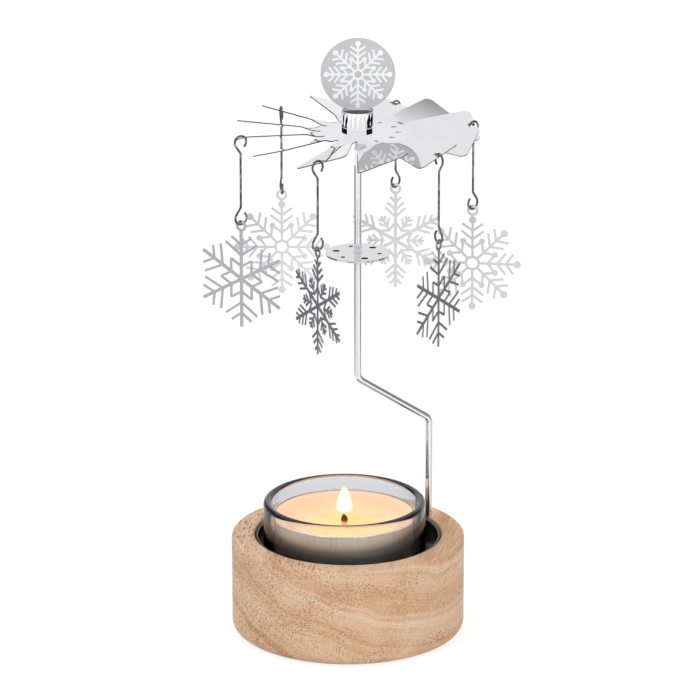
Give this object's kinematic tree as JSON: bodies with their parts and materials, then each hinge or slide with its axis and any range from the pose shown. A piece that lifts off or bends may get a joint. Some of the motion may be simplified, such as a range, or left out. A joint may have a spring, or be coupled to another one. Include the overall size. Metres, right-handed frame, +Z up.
{
  "type": "candle carousel",
  "caption": "Tealight carousel: a round wooden base with a glass cup and candle, a bent rod with a needle, and a bladed metal rotor that carries hanging snowflakes.",
  "frame": {"origin": "centre of the wooden base's bottom face", "axes": "+X right, -Y front, where the finial disc faces, +Z up"},
  "size_m": [0.084, 0.0714, 0.1629],
  "materials": {
    "turned_wood": "turned pale hardwood, thinly oiled, with fine dark pores",
    "polished_dish": "pressed steel, mirror polished",
    "clear_glass": "pressed clear soda-lime glass, fire polished",
    "tealight_foil": "deep drawn aluminium foil with fine upright draw marks",
    "paraffin_wax": "paraffin wax, melted and glowing round the wick",
    "sustainer_tin": "tinned steel",
    "wick_cotton": "braided cotton, charred at its end",
    "chromed_rod": "bent steel wire, bright chrome",
    "needle_steel": "ground and polished steel",
    "polished_sheet": "etched stainless sheet, mirror polished",
    "chromed_hub": "turned brass, bright chrome",
    "bearing_brass": "turned brass",
    "frosted_finial": "stainless sheet, polished, with a frosted snowflake etched in it",
    "hook_wire": "drawn steel wire",
    "charm_sheet": "etched stainless sheet, polished"
  },
  "bodies": {
    "base": {"wood_base": "turned_wood", "dish": "polished_dish", "bent_rod": "chromed_rod", "needle": "needle_steel", "collector_disc": "polished_sheet"},
    "glass": {"glass_cup": "clear_glass"},
    "candle": {"tealight_cup": "tealight_foil", "wax": "paraffin_wax", "wick_sustainer": "sustainer_tin", "wick": "wick_cotton"},
    "rotor": {"rotor_blades": "polished_sheet", "hub_cap": "chromed_hub", "bearing_cup": "bearing_brass", "finial_disc": "frosted_finial"},
    "hanger_1": {"hook_1": "hook_wire"},
    "pendant_1": {"charm_1": "charm_sheet"},
    "hanger_2": {"hook_2": "hook_wire"},
    "pendant_2": {"charm_2": "charm_sheet"},
    "hanger_3": {"hook_3": "hook_wire"},
    "pendant_3": {"charm_3": "charm_sheet"},
    "hanger_4": {"hook_4": "hook_wire"},
    "pendant_4": {"charm_4": "charm_sheet"},
    "hanger_5": {"hook_5": "hook_wire"},
    "pendant_5": {"charm_5": "charm_sheet"},
    "hanger_6": {"hook_6": "hook_wire"},
    "pendant_6": {"charm_6": "charm_sheet"}
  },
  "joints": [
    {"name": "glass_lift", "type": "slide", "parent": "base", "child": "glass", "axis": [0, 0, 1], "range_m": [0, 0.0134]},
    {"name": "candle_lift", "type": "slide", "parent": "glass", "child": "candle", "axis": [0, 0, 1], "range_m": [0, 0.011]},
    {"name": "rotor_spin", "type": "hinge", "parent": "base", "child": "rotor", "pos_m": [0.0026, 0, 0.14077], "axis": [0, 0, 1], "continuous": true},
    {"name": "hook_swing_1", "type": "hinge", "parent": "rotor", "child": "hanger_1", "pos_m": [-0.02791, -0.00696, 0.13681], "axis": [-0.5299, 0.848, 0], "range_deg": [-4, 25]},
    {"name": "charm_swing_1", "type": "hinge", "parent": "hanger_1", "child": "pendant_1", "pos_m": [-0.02791, -0.00696, 0.1146], "axis": [-0.848, -0.5299, 0], "range_deg": [-12, 12]},
    {"name": "hook_swing_2", "type": "hinge", "parent": "rotor", "child": "hanger_2", "pos_m": [-0.01771, 0.02365, 0.1364], "axis": [0.9848, 0.1736, 0], "range_deg": [-4, 25]},
    {"name": "charm_swing_2", "type": "hinge", "parent": "hanger_2", "child": "pendant_2", "pos_m": [-0.01771, 0.02365, 0.1142], "axis": [-0.1736, 0.9848, 0], "range_deg": [-12, 12]},
    {"name": "hook_swing_3", "type": "hinge", "parent": "rotor", "child": "hanger_3", "pos_m": [-0.00772, -0.02941, 0.1364], "axis": [-0.6428, 0.766, 0], "range_deg": [-4, 25]},
    {"name": "charm_swing_3", "type": "hinge", "parent": "hanger_3", "child": "pendant_3", "pos_m": [-0.00772, -0.02941, 0.1142], "axis": [-0.766, -0.6428, 0], "range_deg": [-12, 12]},
    {"name": "hook_swing_4", "type": "hinge", "parent": "rotor", "child": "hanger_4", "pos_m": [0.01275, 0.02958, 0.13648], "axis": [0.766, -0.6428, 0], "range_deg": [-4, 25]},
    {"name": "charm_swing_4", "type": "hinge", "parent": "hanger_4", "child": "pendant_4", "pos_m": [0.01275, 0.02958, 0.11428], "axis": [0.6428, 0.766, 0], "range_deg": [-12, 12]},
    {"name": "hook_swing_5", "type": "hinge", "parent": "rotor", "child": "hanger_5", "pos_m": [0.0234, -0.02346, 0.13657], "axis": [-0.848, -0.5299, 0], "range_deg": [-4, 25]},
    {"name": "charm_swing_5", "type": "hinge", "parent": "hanger_5", "child": "pendant_5", "pos_m": [0.0234, -0.02346, 0.11437], "axis": [0.5299, -0.848, 0], "range_deg": [-12, 12]},
    {"name": "hook_swing_6", "type": "hinge", "parent": "rotor", "child": "hanger_6", "pos_m": [0.03293, 0.00719, 0.13689], "axis": [0.6947, -0.7193, 0], "range_deg": [-4, 25]},
    {"name": "charm_swing_6", "type": "hinge", "parent": "hanger_6", "child": "pendant_6", "pos_m": [0.03293, 0.00719, 0.11469], "axis": [0.7193, 0.6947, 0], "range_deg": [-12, 12]}
  ]
}
